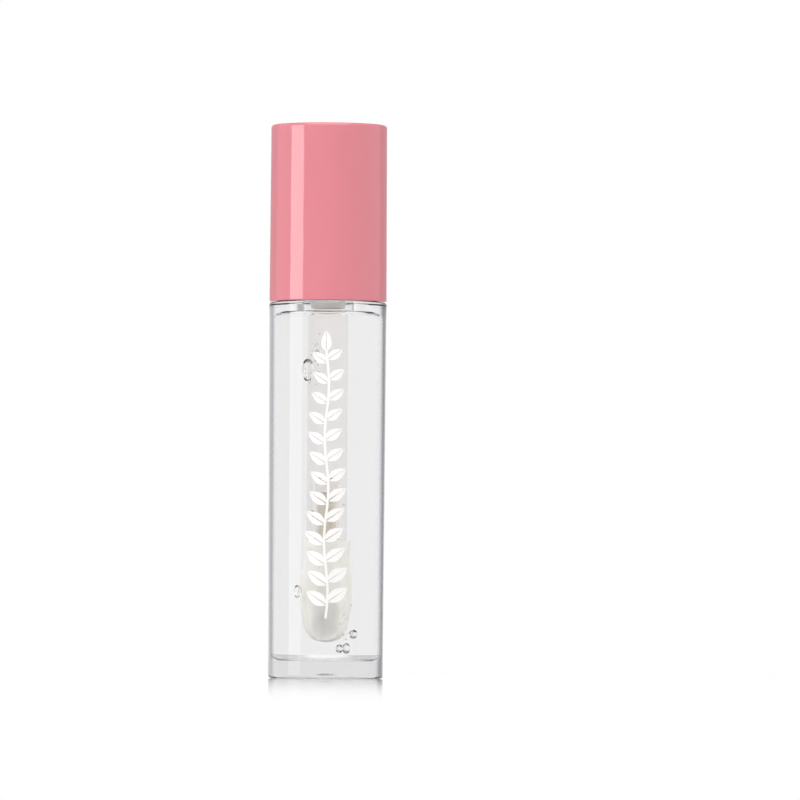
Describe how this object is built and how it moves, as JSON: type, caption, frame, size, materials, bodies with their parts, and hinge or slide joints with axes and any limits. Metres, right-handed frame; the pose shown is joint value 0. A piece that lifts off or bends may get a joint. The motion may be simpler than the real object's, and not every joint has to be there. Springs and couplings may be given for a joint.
{
  "type": "lip gloss tube",
  "caption": "Slim round lip gloss tube: clear thick-walled bottle with a screw neck, and a tall glossy cap that carries a wand with a flocked doe-foot applicator.",
  "frame": {"origin": "centre of the bottle's base, at the level that it stands on", "axes": "+Z along the tube from the base to the cap's closed end; the applicator's slanted face looks along -Y"},
  "size_m": [0.017, 0.017, 0.08],
  "materials": {
    "bottle_clear": "clear, polished, water-white copolyester",
    "wiper_soft": "soft translucent natural polyethylene",
    "gloss": "clear viscous lip oil, faintly warm",
    "seal_foam": "fine closed-cell polyethylene foam",
    "stem_clear": "clear polished moulding",
    "applicator_core": "cream moulded polyethylene",
    "flock": "short cream nylon flock, wet with gloss",
    "liner": "natural white polypropylene",
    "cap_pink": "high-gloss solid pink"
  },
  "bodies": {
    "bottle": {"bottle": "bottle_clear", "wiper": "wiper_soft", "gloss_fill": "gloss"},
    "seal": {"seal_ring": "seal_foam"},
    "wand": {"wand_stem": "stem_clear"},
    "cap": {"cap_shell": "cap_pink", "inner_cap": "liner", "applicator_core": "applicator_core", "applicator_flock": "flock"}
  },
  "joints": [
    {"name": "cap_lift", "type": "slide", "parent": "bottle", "child": "seal", "axis": [0, 0, 1], "range_m": [0, 0.064], "deforming": ["wiper", "gloss_fill"]},
    {"name": "cap_climb", "type": "slide", "parent": "seal", "child": "wand", "axis": [0, 0, 1], "range_m": [0, 0.00375]},
    {"name": "cap_turn", "type": "hinge", "parent": "wand", "child": "cap", "pos_m": [0, 0, 0.0544], "axis": [0, 0, 1], "range_deg": [0, 450]}
  ],
  "couplings": [
    {"joint": "cap_climb", "follows": "cap_turn", "m_per_rad": 0.00047746}
  ]
}
